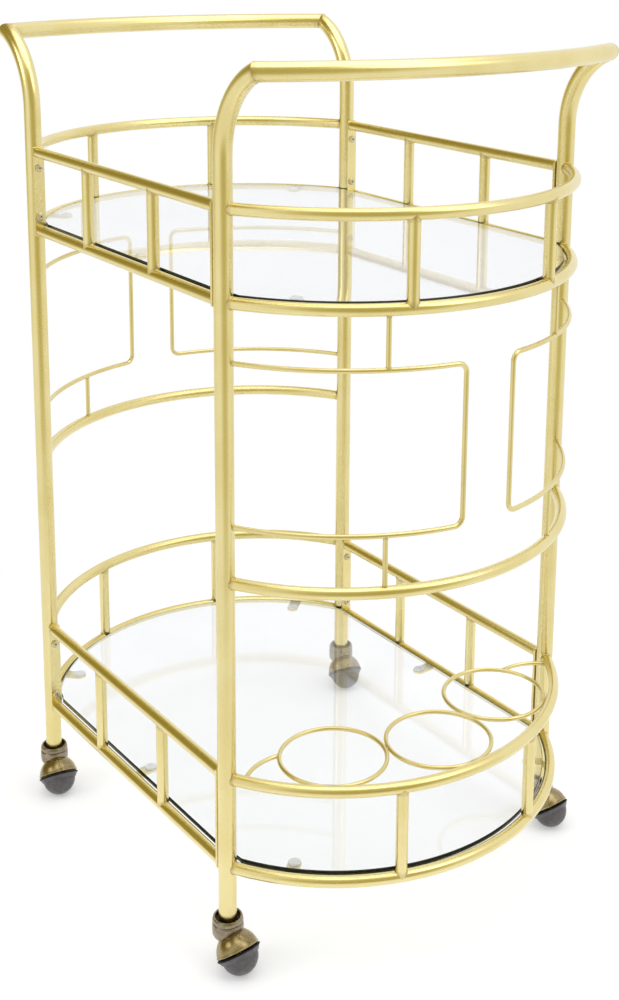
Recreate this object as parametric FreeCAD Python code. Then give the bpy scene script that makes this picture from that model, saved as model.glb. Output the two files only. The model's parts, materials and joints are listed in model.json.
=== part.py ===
"""Bar cart on wheels: tube frame with bowed ends, two glass shelves, a rack of bottle rings and four
hooded ball casters. Millimetres and degrees. X runs from bowed end to bowed end, Y runs across the cart,
Z is up, and the origin lies on the floor midway between the four posts. Left and right are -X and +X,
front and back are -Y and +Y. Whatever stands at the right end is mirrored in X to the left end."""

import FreeCAD, Part
import math
import os
from FreeCAD import Placement, Rotation, Vector

# ---- Posts and handles ----
post_span_x = 390.0
post_span_y = 420.0
post_d = 18.0
post_wall = 1.5
post_bend_radius = 85.0
handle_z = 888.0
handle_overhang = 55.0
handle_bow = 48.0
tube_trim_size = 54.0

# ---- Rails and balusters ----
rail_d = 12.0
rail_wall = 1.2
rail_bow = 128.0
lower_shelf_z = 108.0
lower_gallery_rise = 96.0
middle_rail_z = 407.0
upper_shelf_z = 677.0
upper_gallery_rise = 86.0
end_baluster_angle = 20.5
side_baluster_x = 68.0

# ---- Side panels: end straps and their screws ----
strap_thickness = 3.0
strap_width = 13.0
strap_corner_radius = 2.0
strap_hole_clearance = 0.25
screw_d = 4.0
screw_reach = 2.5
screw_below_gallery = 17.0
screw_above_shelf = 15.5
screw_head_d = 8.8
screw_head_height = 2.4
screw_head_edge = 0.6
screw_head_crown_d = 5.2
screw_head_bulge = 0.3
screw_socket_across = 2.5
screw_socket_depth = 1.3

# ---- Wire loops at the ends ----
loop_wire_d = 5.0
stub_length = 56.0
loop_corner_radius = 9.0
loop_half_gap = 28.8
stub_angle = 25.7

# ---- Bottle rings ----
ring_wire_d = 4.5
ring_radius = 53.5
ring_weld_gap = 0.05
rack_end_side_y = 196.0
rack_end_angle = 232.0

# ---- Glass shelves, tabs and pads ----
glass_thickness = 5.0
glass_edge_gap = 2.0
glass_over_rail_axis = 1.0
glass_post_gap = 2.5
glass_clip_radius = 36.0
glass_edge_chamfer = 0.6
tab_width = 14.0
tab_thickness = 2.5
tab_reach = 17.0
tab_arc_angle = 47.0
pad_d = 12.0
pad_thickness = 2.0

# ---- Casters: collar and stem on the swivel axis ----
cup_rim_z = 53.5
cup_depth = 7.5
cup_bore_d = 25.0
collar_bottom_z = 31.0
collar_d = 31.0
collar_rim_d = 29.2
collar_foot_d = 20.0
collar_barrel = 0.6
collar_groove = 0.5
stem_d = 10.0
stem_depth = 5.5
stem_flange_d = 15.0
stem_flange_gap = 0.3
stem_flange_thickness = 2.0
stem_pin_d = 8.0
stem_pin_length = 30.0
running_clearance = 0.05
insert_over_flange = 0.2
insert_rim_thickness = 1.5
insert_depth = 36.0

# ---- Casters: hood, wheel and axle on the inclined axle's axis ----
axle_tilt = 37.0
ball_offset = 16.0
hood_d = 43.0
hood_wall = 1.8
hood_rim_bead_d = 2.2
hood_rim_bead_inset = 0.55
hood_rim_gap = 0.6
hood_boss_d = 10.0
tread_d = 45.0
tread_thickness = 3.0
tread_taper = 2.6
tread_shoulder_d = 38.2
dome_d = 37.0
dome_drop = 4.0
wheel_wall = 2.2
hub_d = 11.0
hub_rise = 6.0
hub_boss_gap = 0.5
axle_d = 5.0
axle_end_wall = 5.0
axle_end_gap = 0.3
caster_rest_angle = {
    "left_front": -10.5,
    "right_front": 6.5,
    "left_back": -16.0,
    "right_back": 5.0,
}

# ---- Worked out from the driving dimensions ----
end_x = post_span_x / 2
side_y = post_span_y / 2
cup_floor_z = cup_rim_z - cup_depth
stem_flange_top_z = cup_floor_z + stem_flange_gap + stem_flange_thickness
insert_rim_z = stem_flange_top_z + insert_over_flange
post_foot_z = insert_rim_z + insert_rim_thickness
lower_gallery_z = lower_shelf_z + lower_gallery_rise
upper_gallery_z = upper_shelf_z + upper_gallery_rise
loop_bottom_z = middle_rail_z + stub_length
loop_top_z = upper_shelf_z - stub_length
bow_radius = (side_y ** 2 + rail_bow ** 2) / (2 * rail_bow)
bow_centre_x = end_x + rail_bow - bow_radius
bow_half_angle = math.degrees(math.asin(side_y / bow_radius))
handle_radius = (side_y ** 2 + handle_bow ** 2) / (2 * handle_bow)
handle_half_angle = math.degrees(math.asin(side_y / handle_radius))
post_turn = math.degrees(math.acos(1 - handle_overhang / post_bend_radius))
post_bend_z = handle_z - post_bend_radius * math.sin(math.radians(post_turn))
strap_outer_x = end_x - post_d / 2
strap_inner_x = strap_outer_x - strap_thickness

origin = Vector(0, 0, 0)
x_axis = Vector(1, 0, 0)
y_axis = Vector(0, 1, 0)
z_axis = Vector(0, 0, 1)
end_signs = {"left": -1, "right": 1}
side_signs = {"front": -1, "back": 1}


# ---- Helpers ----

def direction_at(degrees):
    """Level unit vector at an angle from X."""
    return Vector(math.cos(math.radians(degrees)), math.sin(math.radians(degrees)), 0)


def on_bow(degrees, z, radius=bow_radius):
    """Point at the right end, at an angle and distance from the centre that all its bows share."""
    return Vector(bow_centre_x, 0, z) + direction_at(degrees) * radius


def at_end(shape, end):
    """The right end's shape as it is, or mirrored to the left end."""
    if end_signs[end] > 0:
        return shape
    return shape.mirror(origin, x_axis)


def rod(start, end, diameter):
    """Solid round bar between two points."""
    return Part.makeCylinder(diameter / 2, (end - start).Length, start, end - start)


def tube(start, end, diameter, wall):
    """Straight round tube between two points."""
    return rod(start, end, diameter).cut(rod(start, end, diameter - 2 * wall))


def bent_rod(start, heading, runs, diameter):
    """Round bar that leaves start along heading and follows its runs, each tangent to the one before:
    a length, or a bend given as (radius, degrees, turning axis)."""
    section = Part.Face(Part.Wire(Part.Circle(start, heading, diameter / 2).toShape()))
    pieces = []
    for run in runs:
        if isinstance(run, tuple):
            radius, degrees, axis = run
            centre = start + axis.cross(heading) * radius
            turn = Rotation(axis, degrees)
            pieces.append(section.revolve(centre, axis, degrees))
            section = section.rotated(centre, axis, degrees)
            start = centre + turn.multVec(start - centre)
            heading = turn.multVec(heading)
        else:
            pieces.append(section.extrude(heading * run))
            section = section.translated(heading * run)
            start = start + heading * run
    if len(pieces) == 1:
        return pieces[0]
    return pieces[0].multiFuse(pieces[1:]).removeSplitter()


def bent_tube(start, heading, runs, diameter, wall):
    """Round tube along the same kind of path as bent_rod."""
    outside = bent_rod(start, heading, runs, diameter)
    return outside.cut(bent_rod(start, heading, runs, diameter - 2 * wall))


def revolved(outline):
    """Solid of revolution about Z from a closed chain of edges in the XZ plane."""
    return Part.Face(Part.Wire(outline)).revolve(origin, z_axis, 360)


def line(x1, z1, x2, z2):
    """Straight edge of a revolved outline."""
    return Part.LineSegment(Vector(x1, 0, z1), Vector(x2, 0, z2)).toShape()


def arc(x1, z1, x2, z2, x3, z3):
    """Arc of a revolved outline through its start, a point on the way and its end."""
    return Part.Arc(Vector(x1, 0, z1), Vector(x2, 0, z2), Vector(x3, 0, z3)).toShape()


def arc_about(centre_z, radius, x1, z1, x2, z2):
    """Arc of a revolved outline about a centre on the axis."""
    middle = Vector((x1 + x2) / 2, 0, (z1 + z2) / 2 - centre_z)
    middle = middle * (radius / middle.Length)
    return arc(x1, z1, middle.x, middle.z + centre_z, x2, z2)


def half_space(point, normal):
    """Thick disc on the side of a plane that its normal points to, used to trim a tube's end."""
    return Part.makeCylinder(tube_trim_size, tube_trim_size, point, normal)


def export(name, solids):
    """One STEP file for each node; a node of several like pieces holds them as separate solids."""
    shape = Part.makeCompound(solids) if len(solids) > 1 else solids[0]
    shape.exportStep("parts/" + name + ".step")


# ---- Posts and handles: bent tube, mitred where they meet ----

def mitre(side):
    """Corner of the right end where a post meets the handle, with the normal of the joint's plane."""
    corner = Vector(end_x + handle_overhang, side * side_y, handle_z)
    turn = math.radians(post_turn)
    post_heading = Vector(math.sin(turn), 0, math.cos(turn))
    handle_heading = direction_at(90 + side * handle_half_angle)
    return corner, post_heading - handle_heading * side


def post_core(side):
    """Filled outer shape of a right-hand post's upright stretch, for whatever is coped against it."""
    foot = Vector(end_x, side * side_y, post_foot_z)
    return rod(foot, Vector(foot.x, foot.y, post_bend_z), post_d)


def screw_heights():
    """Height of every strap screw on a post."""
    heights = []
    for shelf_z, gallery_z in ((lower_shelf_z, lower_gallery_z), (upper_shelf_z, upper_gallery_z)):
        heights.append(shelf_z + screw_above_shelf)
        heights.append(gallery_z - screw_below_gallery)
    return heights


def post(side):
    """Upright with its outward bend; its inner wall is tapped for the strap screws."""
    foot = Vector(end_x, side * side_y, post_foot_z)
    runs = [post_bend_z - post_foot_z, (post_bend_radius, post_turn, y_axis), post_d]
    body = bent_tube(foot, z_axis, runs, post_d, post_wall)
    corner, normal = mitre(side)
    body = body.cut(half_space(corner, normal))
    for z in screw_heights():
        hole_start = Vector(strap_outer_x - post_wall, foot.y, z)
        body = body.cut(rod(hole_start, Vector(end_x, foot.y, z), screw_d))
    return body


def handle():
    """Bowed push bar of the right end, from mitre to mitre."""
    corner, normal = mitre(-1)
    far_corner, far_normal = mitre(1)
    heading = direction_at(90 - handle_half_angle)
    runs = [post_d, (handle_radius, 2 * handle_half_angle, z_axis), post_d]
    bar = bent_tube(corner - heading * post_d, heading, runs, post_d, post_wall)
    return bar.cut(half_space(corner, normal * -1)).cut(half_space(far_corner, far_normal * -1))


# ---- Bowed end rails with their balusters ----

def bow(diameter):
    """Filled bow of the right end at floor level, from post centre to post centre."""
    heading = direction_at(90 - bow_half_angle)
    arc_run = (bow_radius, 2 * bow_half_angle, z_axis)
    return bent_rod(on_bow(-bow_half_angle, 0), heading, [arc_run], diameter)


rail_bow_core = bow(rail_d)


def bow_core(z):
    """Filled outer shape of a right-hand bowed rail, for whatever is coped against it."""
    return rail_bow_core.translated(z_axis * z)


def bowed_rail():
    """Bowed tube rail of the right end at floor level, coped to both posts."""
    rail = rail_bow_core.cut(bow(rail_d - 2 * rail_wall))
    for side in side_signs.values():
        axis_point = Vector(end_x, side * side_y, 0)
        rail = rail.cut(rod(axis_point - z_axis * rail_d, axis_point + z_axis * rail_d, post_d))
    return rail


def end_balusters():
    """Upright tubes between shelf and gallery rails of the right end, coped at both ends."""
    balusters = []
    for shelf_z, gallery_z in ((lower_shelf_z, lower_gallery_z), (upper_shelf_z, upper_gallery_z)):
        for angle in (-end_baluster_angle, end_baluster_angle):
            upright = tube(on_bow(angle, shelf_z), on_bow(angle, gallery_z), rail_d, rail_wall)
            balusters.append(upright.cut(bow_core(shelf_z)).cut(bow_core(gallery_z)))
    return balusters


# ---- Side panels: straight rails, balusters and end straps, welded up and screwed to the posts ----

def side_rail(side, z):
    """Straight tube rail between the straps of two posts."""
    y = side * side_y
    return tube(Vector(-strap_inner_x, y, z), Vector(strap_inner_x, y, z), rail_d, rail_wall)


def side_balusters(side):
    """Upright tubes between shelf and gallery rails of one side, coped at both ends."""
    y = side * side_y
    balusters = []
    for shelf_z, gallery_z in ((lower_shelf_z, lower_gallery_z), (upper_shelf_z, upper_gallery_z)):
        for x in (-side_baluster_x, side_baluster_x):
            upright = tube(Vector(x, y, shelf_z), Vector(x, y, gallery_z), rail_d, rail_wall)
            for z in (shelf_z, gallery_z):
                upright = upright.cut(rod(Vector(x - rail_d, y, z), Vector(x + rail_d, y, z), rail_d))
            balusters.append(upright)
    return balusters


def end_straps(side):
    """Flat bars that close the panels of one side against the posts, with their screw holes."""
    y = side * side_y
    straps = []
    for shelf_z, gallery_z in ((lower_shelf_z, lower_gallery_z), (upper_shelf_z, upper_gallery_z)):
        height = gallery_z - shelf_z + rail_d
        corner = Vector(strap_inner_x, y - strap_width / 2, shelf_z - rail_d / 2)
        bar = Part.makeBox(strap_thickness, strap_width, height, corner)
        ends = [edge for edge in bar.Edges if abs(edge.tangentAt(edge.FirstParameter).x) > 0.5]
        bar = bar.makeFillet(strap_corner_radius, ends)
        for z in (shelf_z + screw_above_shelf, gallery_z - screw_below_gallery):
            hole_d = screw_d + 2 * strap_hole_clearance
            bar = bar.cut(rod(Vector(strap_inner_x, y, z), Vector(strap_outer_x, y, z), hole_d))
        straps.append(bar)
        straps.append(bar.mirror(origin, x_axis))
    return straps


def panel_screws():
    """Button-head screws with hexagon sockets, from inside the cart through strap and post wall."""
    crown = screw_head_crown_d / 2
    rim = screw_head_d / 2
    shoulder = (crown + rim) / 2 + screw_head_bulge
    shoulder_z = (screw_head_edge + screw_head_height) / 2 + screw_head_bulge
    tip = strap_thickness + post_wall + screw_reach
    outline = [
        line(0, -tip, screw_d / 2, -tip),
        line(screw_d / 2, -tip, screw_d / 2, 0),
        line(screw_d / 2, 0, rim, 0),
        line(rim, 0, rim, screw_head_edge),
        arc(rim, screw_head_edge, shoulder, shoulder_z, crown, screw_head_height),
        line(crown, screw_head_height, 0, screw_head_height),
        line(0, screw_head_height, 0, -tip),
    ]
    half_across_corners = screw_socket_across / 2 / math.cos(math.radians(30))
    corners = [direction_at(60 * i) * half_across_corners for i in range(7)]
    socket = Part.Face(Part.makePolygon(corners)).extrude(z_axis * screw_socket_depth)
    socket.translate(z_axis * (screw_head_height - screw_socket_depth))
    screw = revolved(outline).cut(socket)
    screw.rotate(origin, y_axis, -90)
    screws = []
    for side in side_signs.values():
        for z in screw_heights():
            seated = screw.translated(Vector(strap_inner_x, side * side_y, z))
            screws.append(seated)
            screws.append(seated.mirror(origin, x_axis))
    return screws


# ---- Wire loops above the middle rail ----

def wire_loop(side):
    """U of bent wire at the right end: out from a post, down near the middle and back to the post."""
    upright_angle = math.degrees(math.asin(loop_half_gap / bow_radius))
    corner_angle = math.degrees(math.atan(loop_corner_radius / bow_radius))
    sweep = bow_half_angle - upright_angle - corner_angle
    start = on_bow(side * bow_half_angle, loop_top_z)
    heading = direction_at(side * (bow_half_angle - 90))
    corner_heading = direction_at(side * (bow_half_angle - sweep - 90))
    corner_axis = z_axis.cross(corner_heading)
    runs = [
        (bow_radius, sweep, z_axis * -side),
        (loop_corner_radius, 90, corner_axis),
        loop_top_z - loop_bottom_z - 2 * loop_corner_radius,
        (loop_corner_radius, 90, corner_axis),
        (bow_radius, sweep, z_axis * side),
    ]
    return bent_rod(start, heading, runs, loop_wire_d).cut(post_core(side))


def loop_stubs(loops):
    """Short wires of the right end that hold the loops between the middle and upper shelf rails."""
    stubs = []
    for angle in (-stub_angle, stub_angle):
        for rail_z, loop_z in ((middle_rail_z, loop_bottom_z), (upper_shelf_z, loop_top_z)):
            wire = rod(on_bow(angle, rail_z), on_bow(angle, loop_z), loop_wire_d)
            stubs.append(wire.cut(bow_core(rail_z)).cut(loops[0]).cut(loops[1]))
    return stubs


# ---- Bottle rack inside the right end's lower gallery ----

ring_orbit = bow_radius - rail_d / 2 - ring_wire_d / 2 - ring_radius - ring_weld_gap
ring_pitch = 2 * math.degrees(math.asin((ring_radius + (ring_wire_d + ring_weld_gap) / 2) / ring_orbit))


def ring_centre(place):
    """Centre of the ring at place -1, 0 or 1; the rings touch each other and the bowed rail."""
    return on_bow(place * ring_pitch, lower_gallery_z, ring_orbit)


def bottle_ring(place, growth=0.0):
    """Closed wire ring, or its shape with thicker wire for what ends against it."""
    return Part.makeTorus(ring_radius, ring_wire_d / 2 + growth, ring_centre(place))


def rack_end(side):
    """Curved wire of the rings' own radius that closes the rack from its outer ring to the bowed rail."""
    ring_point = ring_centre(side) + direction_at(-side * rack_end_angle) * ring_radius
    inner_radius = bow_radius - rail_d / 2
    rail_angle = side * math.degrees(math.asin(rack_end_side_y / inner_radius))
    rail_point = on_bow(rail_angle, lower_gallery_z, inner_radius)
    half_chord = (rail_point - ring_point) * 0.5
    inward = half_chord.cross(z_axis * -side).normalize()
    rise = math.sqrt(ring_radius ** 2 - half_chord.Length ** 2)
    centre = ring_point + half_chord - inward * rise
    start = rail_point - centre
    heading = z_axis.cross(start).normalize() * side
    half_turn = math.degrees(math.asin(half_chord.Length / ring_radius))
    wire = bent_rod(rail_point, heading, [(ring_radius, 2 * half_turn, z_axis * side)], ring_wire_d)
    return wire.cut(bow_core(lower_gallery_z)).cut(bottle_ring(side, ring_weld_gap))


# ---- Glass shelves on their tabs and pads ----

def glass_shelf(shelf_z):
    """Plate with two straight and two bowed edges, clipped at the posts and ground along its edges."""
    edge_y = side_y - rail_d / 2 - glass_edge_gap
    edge_radius = bow_radius - rail_d / 2 - glass_edge_gap
    corner_x = bow_centre_x + math.sqrt(edge_radius ** 2 - edge_y ** 2)
    tip_x = bow_centre_x + edge_radius
    left_front, right_front = Vector(-corner_x, -edge_y, 0), Vector(corner_x, -edge_y, 0)
    left_back, right_back = Vector(-corner_x, edge_y, 0), Vector(corner_x, edge_y, 0)
    outline = [
        Part.LineSegment(left_front, right_front).toShape(),
        Part.Arc(right_front, Vector(tip_x, 0, 0), right_back).toShape(),
        Part.LineSegment(right_back, left_back).toShape(),
        Part.Arc(left_back, Vector(-tip_x, 0, 0), left_front).toShape(),
    ]
    plate = Part.Face(Part.Wire(outline)).extrude(z_axis * glass_thickness)
    clip_angle = (90 + math.degrees(math.asin(edge_y / edge_radius))) / 2
    clip_distance = post_d / 2 + glass_post_gap
    for side in side_signs.values():
        outward = direction_at(side * clip_angle)
        clip = Part.makeCylinder(glass_clip_radius, glass_thickness, Vector(end_x, side * side_y, 0))
        clip.translate(outward * (glass_clip_radius - clip_distance))
        plate = plate.cut(clip).cut(clip.mirror(origin, x_axis))
    rims = [edge for face in plate.Faces if abs(face.normalAt(0, 0).z) > 0.9 for edge in face.Edges]
    plate = plate.makeChamfer(glass_edge_chamfer, rims)
    plate.translate(z_axis * (shelf_z + glass_over_rail_axis))
    return plate


def glass_supports(shelf_z):
    """Six tabs welded inside the shelf's rails, and the pads that carry the glass on them."""
    pad_z = shelf_z + glass_over_rail_axis - pad_thickness
    tab_length = rail_d / 2 + tab_reach
    blade = Part.makeBox(tab_length, tab_width, tab_thickness, Vector(0, -tab_width / 2, -tab_thickness))
    nose = Part.makeCylinder(tab_width / 2, tab_thickness, Vector(tab_length, 0, -tab_thickness))
    tab = blade.fuse(nose).removeSplitter()
    pad = Part.makeCylinder(pad_d / 2, pad_thickness, Vector(tab_length, 0, 0))
    side_core = rod(Vector(-tab_width, -side_y, shelf_z), Vector(tab_width, -side_y, shelf_z), rail_d)
    seats = [(Vector(0, -side_y, pad_z), 90, side_core)]
    for angle in (-tab_arc_angle, tab_arc_angle):
        seats.append((on_bow(angle, pad_z), angle + 180, bow_core(shelf_z)))
    tabs = []
    pads = []
    for place, heading, rail in seats:
        seat = Placement(place, Rotation(z_axis, heading))
        placed_tab = tab.transformed(seat.toMatrix()).cut(rail)
        placed_pad = pad.transformed(seat.toMatrix())
        across = y_axis if abs(place.x) < 1e-6 else x_axis
        tabs.extend([placed_tab, placed_tab.mirror(origin, across)])
        pads.extend([placed_pad, placed_pad.mirror(origin, across)])
    return tabs, pads


# ---- Casters: built about the swivel axis, with the wheel offset along X and its axle in the XZ plane ----

dome_centre_z = dome_d / 2 + dome_drop * math.cos(math.radians(axle_tilt))
ball_centre = Vector(ball_offset, 0, dome_centre_z)
axle_placement = Placement(ball_centre, Rotation(y_axis, 180 - axle_tilt))
hood_inner_radius = hood_d / 2 - hood_wall
hub_top = -hub_rise
axle_tip = dome_drop + dome_d / 2 - axle_end_wall
axle_root = -hood_inner_radius


def on_axle(shape):
    """Shape modelled about Z with the wheel's middle plane at 0 and its dome upward, laid on the axle."""
    return shape.transformed(axle_placement.toMatrix())


def caster_hood():
    """Casting with a grooved collar cup round the post's foot and a domed cover over the wheel."""
    rim = collar_rim_d / 2
    foot = collar_foot_d / 2
    wide = collar_d / 2
    bore = stem_d / 2 + running_clearance
    bore_bottom = cup_floor_z - stem_depth
    belt_z = collar_bottom_z + (wide - foot)
    groove_z = (belt_z + cup_rim_z) / 2
    lower_bulge = arc(wide, belt_z, wide + collar_barrel / 2, (belt_z + groove_z) / 2,
                      wide, groove_z - collar_groove)
    upper_bulge = arc(wide, groove_z + collar_groove, wide, (groove_z + cup_rim_z) / 2, rim, cup_rim_z)
    outline = [
        line(0, collar_bottom_z, foot, collar_bottom_z),
        arc(foot, collar_bottom_z,
            foot + (wide - foot) * math.sin(math.radians(45)),
            belt_z - (wide - foot) * math.cos(math.radians(45)), wide, belt_z),
        lower_bulge,
        line(wide, groove_z - collar_groove, wide - collar_groove, groove_z),
        line(wide - collar_groove, groove_z, wide, groove_z + collar_groove),
        upper_bulge,
        line(rim, cup_rim_z, cup_bore_d / 2, cup_rim_z),
        line(cup_bore_d / 2, cup_rim_z, cup_bore_d / 2, cup_floor_z),
        line(cup_bore_d / 2, cup_floor_z, bore, cup_floor_z),
        line(bore, cup_floor_z, bore, bore_bottom),
        line(bore, bore_bottom, 0, bore_bottom),
        line(0, bore_bottom, 0, collar_bottom_z),
    ]
    collar = revolved(outline)
    bead = Part.makeTorus(hood_d / 2 - hood_rim_bead_inset, hood_rim_bead_d / 2,
                          Vector(0, 0, -hood_rim_gap - hood_rim_bead_d / 2))
    dome = on_axle(Part.makeSphere(hood_d / 2).fuse(bead))
    cavity = on_axle(Part.makeSphere(hood_inner_radius))
    open_side = on_axle(Part.makeCylinder(hood_d, hood_d, Vector(0, 0, -hood_rim_gap)))
    boss_root = axle_root - hood_wall / 2
    boss_length = hub_top - hub_boss_gap - boss_root
    boss = on_axle(Part.makeCylinder(hood_boss_d / 2, boss_length, Vector(0, 0, boss_root)))
    axle_hole = on_axle(Part.makeCylinder(axle_d / 2, axle_tip - axle_root, Vector(0, 0, axle_root)))
    return collar.fuse(dome).cut(cavity).cut(open_side).fuse(boss).cut(axle_hole).removeSplitter()


def caster_wheel():
    """Bowl wheel: dark tread rim, domed outside, hollow inside, with a long hub on the axle."""
    bore = axle_d / 2 + running_clearance
    dome_radius = dome_d / 2
    inner_radius = dome_radius - wheel_wall
    hub = hub_d / 2
    face = hood_rim_gap
    tread_end = face + tread_thickness
    shoulder = tread_end + tread_taper
    dome_start = math.sqrt(dome_radius ** 2 - (shoulder - dome_drop) ** 2)
    bowl_floor = dome_drop + math.sqrt(inner_radius ** 2 - hub ** 2)
    pole = dome_drop + dome_radius
    bore_end = axle_tip + axle_end_gap
    outline = [
        line(bore, hub_top, hub, hub_top),
        line(hub, hub_top, hub, bowl_floor),
        arc_about(dome_drop, inner_radius, hub, bowl_floor, inner_radius, dome_drop),
        line(inner_radius, dome_drop, inner_radius, face),
        line(inner_radius, face, tread_d / 2, face),
        line(tread_d / 2, face, tread_d / 2, tread_end),
        line(tread_d / 2, tread_end, tread_shoulder_d / 2, shoulder),
        line(tread_shoulder_d / 2, shoulder, dome_start, shoulder),
        arc_about(dome_drop, dome_radius, dome_start, shoulder, 0, pole),
        line(0, pole, 0, bore_end),
        line(0, bore_end, bore, bore_end),
        line(bore, bore_end, bore, hub_top),
    ]
    return on_axle(revolved(outline))


def caster_axle():
    """Plain pin, pressed into the hood's boss and running in the wheel's hub."""
    return on_axle(Part.makeCylinder(axle_d / 2, axle_tip - axle_root, Vector(0, 0, axle_root)))


def caster_stem():
    """Turned stem: shank in the collar's bore, flange over the cup's floor, pin up in the socket."""
    shank_bottom = Vector(0, 0, cup_floor_z - stem_depth + stem_flange_gap)
    flange_bottom = Vector(0, 0, cup_floor_z + stem_flange_gap)
    flange_top = Vector(0, 0, stem_flange_top_z)
    shank = rod(shank_bottom, flange_bottom, stem_d)
    flange = rod(flange_bottom, flange_top, stem_flange_d)
    pin = rod(flange_top, flange_top + z_axis * stem_pin_length, stem_pin_d)
    return shank.multiFuse([flange, pin]).removeSplitter()


def socket_insert():
    """Bushing pushed into the post's foot, with a rim under the tube's end and a bore for the stem."""
    rim_bottom = Vector(0, 0, insert_rim_z)
    foot = Vector(0, 0, post_foot_z)
    top = Vector(0, 0, post_foot_z + insert_depth)
    body = rod(rim_bottom, foot, post_d).fuse(rod(foot, top, post_d - 2 * post_wall))
    return body.cut(rod(rim_bottom, top, stem_pin_d)).removeSplitter()


# ---- Write every node ----

os.makedirs("parts", exist_ok=True)

bow_heights = {
    "lower_shelf": lower_shelf_z,
    "lower_gallery": lower_gallery_z,
    "middle": middle_rail_z,
    "upper_shelf": upper_shelf_z,
    "upper_gallery": upper_gallery_z,
}
right_posts = {name: post(side) for name, side in side_signs.items()}
right_handle = handle()
right_bow_rail = bowed_rail()
right_balusters = end_balusters()
right_loops = [wire_loop(side) for side in side_signs.values()]
right_stubs = loop_stubs(right_loops)
for end in end_signs:
    for side_name, right_post in right_posts.items():
        export("post_" + end + "_" + side_name, [at_end(right_post, end)])
    export("handle_" + end, [at_end(right_handle, end)])
    for name, z in bow_heights.items():
        export("bow_rail_" + name + "_" + end, [at_end(right_bow_rail.translated(z_axis * z), end)])
    export("end_balusters_" + end, [at_end(baluster, end) for baluster in right_balusters])
    export("wire_loops_" + end, [at_end(loop, end) for loop in right_loops])
    export("loop_stubs_" + end, [at_end(stub, end) for stub in right_stubs])

for side_name, side in side_signs.items():
    for name in ("lower_shelf", "lower_gallery", "upper_shelf", "upper_gallery"):
        export("side_rail_" + name + "_" + side_name, [side_rail(side, bow_heights[name])])
    export("side_balusters_" + side_name, side_balusters(side))
    export("end_straps_" + side_name, end_straps(side))
export("panel_screws", panel_screws())

for place, name in ((-1, "front"), (0, "middle"), (1, "back")):
    export("bottle_ring_" + name, [bottle_ring(place)])
export("rack_end_wires", [rack_end(side) for side in side_signs.values()])

for name, shelf_z in (("lower", lower_shelf_z), ("upper", upper_shelf_z)):
    export("glass_shelf_" + name, [glass_shelf(shelf_z)])
    tabs, pads = glass_supports(shelf_z)
    export("glass_tabs_" + name, tabs)
    export("glass_pads_" + name, pads)

hood = caster_hood()
wheel = caster_wheel()
axle = caster_axle()
stem = caster_stem()
insert = socket_insert()
stems = []
inserts = []
for corner_name, angle in caster_rest_angle.items():
    end, side_name = corner_name.split("_")
    foot = Vector(end_signs[end] * end_x, side_signs[side_name] * side_y, 0)
    stand = Placement(foot, Rotation(z_axis, angle)).toMatrix()
    export("caster_hood_" + corner_name, [hood.transformed(stand)])
    export("caster_wheel_" + corner_name, [wheel.transformed(stand)])
    export("caster_axle_" + corner_name, [axle.transformed(stand)])
    stems.append(stem.translated(foot))
    inserts.append(insert.translated(foot))
export("caster_stems", stems)
export("socket_inserts", inserts)
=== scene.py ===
import json
import math

import bmesh
import bpy
from mathutils import Matrix, Vector, noise


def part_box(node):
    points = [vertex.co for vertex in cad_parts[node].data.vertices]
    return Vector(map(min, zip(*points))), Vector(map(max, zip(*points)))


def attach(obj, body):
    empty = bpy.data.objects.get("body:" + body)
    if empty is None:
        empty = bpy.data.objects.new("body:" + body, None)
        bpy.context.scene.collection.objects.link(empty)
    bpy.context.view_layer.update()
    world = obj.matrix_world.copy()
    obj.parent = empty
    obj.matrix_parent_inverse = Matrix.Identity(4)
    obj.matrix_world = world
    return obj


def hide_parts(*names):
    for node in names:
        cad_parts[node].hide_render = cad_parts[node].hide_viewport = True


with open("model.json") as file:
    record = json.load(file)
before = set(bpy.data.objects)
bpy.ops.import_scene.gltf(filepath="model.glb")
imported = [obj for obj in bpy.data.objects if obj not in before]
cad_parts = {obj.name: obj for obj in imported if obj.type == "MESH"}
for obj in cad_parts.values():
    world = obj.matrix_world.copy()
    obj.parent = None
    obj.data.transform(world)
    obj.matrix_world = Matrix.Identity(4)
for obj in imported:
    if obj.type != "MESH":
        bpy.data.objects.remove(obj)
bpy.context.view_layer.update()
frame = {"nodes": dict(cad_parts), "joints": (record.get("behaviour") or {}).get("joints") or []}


# ---- Posts ----
# Four uprights of 18 mm steel tube, bent outward at the top to carry the push bars and sawn to a mitre
# there. The tube is drawn, bent on a former, polished and plated champagne gold under clear lacquer.

post_radius = 0.009
post_wall = 0.0015
post_bend_radius = 0.085
post_overhang = 0.055
post_foot_rounding = 0.0004
seam_depth = 0.0003
seam_slope = 0.9
seam_heat_reach = 0.004
tube_facets = 40
longest_bend_step = 0.008
widest_bend_step = math.radians(4)
across_x = Vector((1, 0, 0))
across_y = Vector((0, 1, 0))
up = Vector((0, 0, 1))
end_signs = {"left": -1, "right": 1}
side_signs = {"front": -1, "back": 1}


def bend_up(start, heading, side, runs):
    """Stations (point, heading, side) along a tube's axis through its runs, each a straight length or a
    bend of (radius, angle, axis)."""
    stations = [(start, heading, side)]
    for run in runs:
        point, heading, side = stations[-1]
        if not isinstance(run, tuple):
            stations.append((point + heading * run, heading, side))
            continue
        radius, angle, axis = run
        centre = point + axis.cross(heading) * radius
        steps = max(2, math.ceil(angle / min(widest_bend_step, longest_bend_step / radius)))
        for step in range(1, steps + 1):
            turn = Matrix.Rotation(angle * step / steps, 3, axis)
            stations.append((centre + turn @ (point - centre), turn @ heading, turn @ side))
    return stations


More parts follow.
